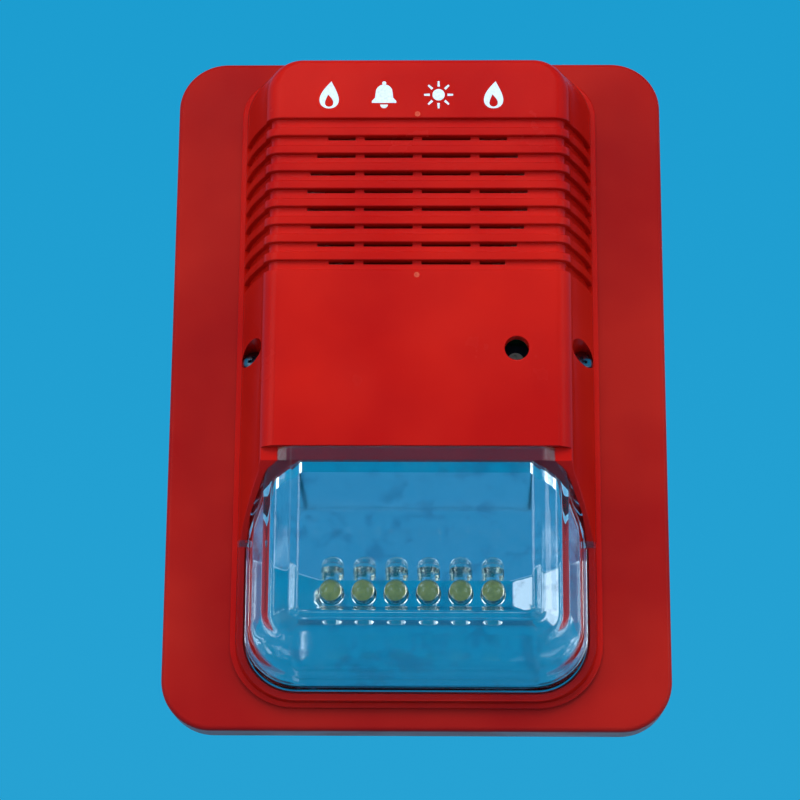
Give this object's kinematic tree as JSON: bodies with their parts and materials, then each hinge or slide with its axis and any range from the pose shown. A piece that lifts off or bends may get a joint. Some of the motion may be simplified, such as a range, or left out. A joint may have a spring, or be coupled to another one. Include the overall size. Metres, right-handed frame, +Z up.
{
  "type": "horn strobe",
  "caption": "Wall-mounted fire alarm horn strobe: a back plate carries a louvred sounder housing with a row of lights in a mirror behind a clear lens.",
  "frame": {"origin": "centre of the cable bore, in the plane of the wall behind the back plate", "axes": "+Z up as it hangs, +X to the right seen from the front, +Y into the wall, so the front faces -Y"},
  "size_m": [0.11, 0.0305, 0.1536],
  "materials": {
    "plate_red": "satin moulded plastic, slightly darker than the cover",
    "foam_grey": "closed cell foam",
    "rubber_black": "soft matt rubber",
    "insert_brass": "machined",
    "cover_red": "semi-gloss moulded plastic",
    "lens_clear": "clear polycarbonate, polished",
    "mirror_plating": "vacuum plated mirror",
    "screw_steel": "zinc plated",
    "cup_black": "fine grained black moulding",
    "plate_brass": "thin rolled sheet",
    "ceramic_silver": "silvered ceramic",
    "seal_white": "silicone",
    "lead_black": "insulated lead",
    "led_epoxy": "clear epoxy",
    "led_metal": "lead frame with yellow phosphor",
    "board_green": "green solder mask",
    "lead_red": "insulated lead",
    "terminal_green": "moulded nylon",
    "clamp_brass": "tinned brass",
    "trimmer_blue": "moulded case",
    "switch_red": "moulded case",
    "can_sleeve": "shrink sleeve over an aluminium can",
    "ferrite": "ferrite with enamelled winding",
    "chip_black": "moulded package",
    "diode_black": "moulded package",
    "resistor_tan": "lacquered",
    "tinned_legs": "tinned",
    "rotor_ivory": "moulded rotor",
    "slider_white": "moulded slider"
  },
  "bodies": {
    "base": {"back_plate": "plate_red", "wall_gasket": "foam_grey", "cable_grommet": "rubber_black", "threaded_inserts": "insert_brass"},
    "cover": {"front_housing": "cover_red", "clear_lens": "lens_clear", "reflector": "mirror_plating", "cover_screws": "screw_steel", "sounder_cup": "cup_black", "sound_plate": "plate_brass", "sound_ceramic": "ceramic_silver", "sounder_seal": "seal_white", "sounder_screws": "screw_steel", "sounder_leads": "lead_black", "strobe_leds": "led_epoxy", "led_cores": "led_metal", "led_board": "board_green", "led_board_screws": "screw_steel", "strobe_leads": "lead_red", "main_board": "board_green", "board_screws": "screw_steel", "terminal_block": "terminal_green", "terminal_screws": "screw_steel", "wire_clamps": "clamp_brass", "volume_control": "trimmer_blue", "switch_body": "switch_red", "capacitors": "can_sleeve", "choke": "ferrite", "driver_chip": "chip_black", "diodes": "diode_black", "resistors": "resistor_tan", "transistor": "chip_black", "lead_pads": "tinned_legs"},
    "rotor": {"volume_rotor": "rotor_ivory"},
    "tone_knob": {"tone_slider": "slider_white"},
    "flash_knob": {"flash_slider": "slider_white"}
  },
  "joints": [
    {"name": "cover_lift", "type": "slide", "parent": "base", "child": "cover", "axis": [0, -1, 0], "range_m": [0, 0.04]},
    {"name": "volume_turn", "type": "hinge", "parent": "cover", "child": "rotor", "pos_m": [0.0215, -0.0199, 0.0026], "axis": [0, -1, 0], "range_deg": [-135, 135]},
    {"name": "tone_setting", "type": "slide", "parent": "cover", "child": "tone_knob", "axis": [1, 0, 0], "range_m": [0, 0.0016]},
    {"name": "flash_setting", "type": "slide", "parent": "cover", "child": "flash_knob", "axis": [1, 0, 0], "range_m": [0, 0.0016]}
  ]
}
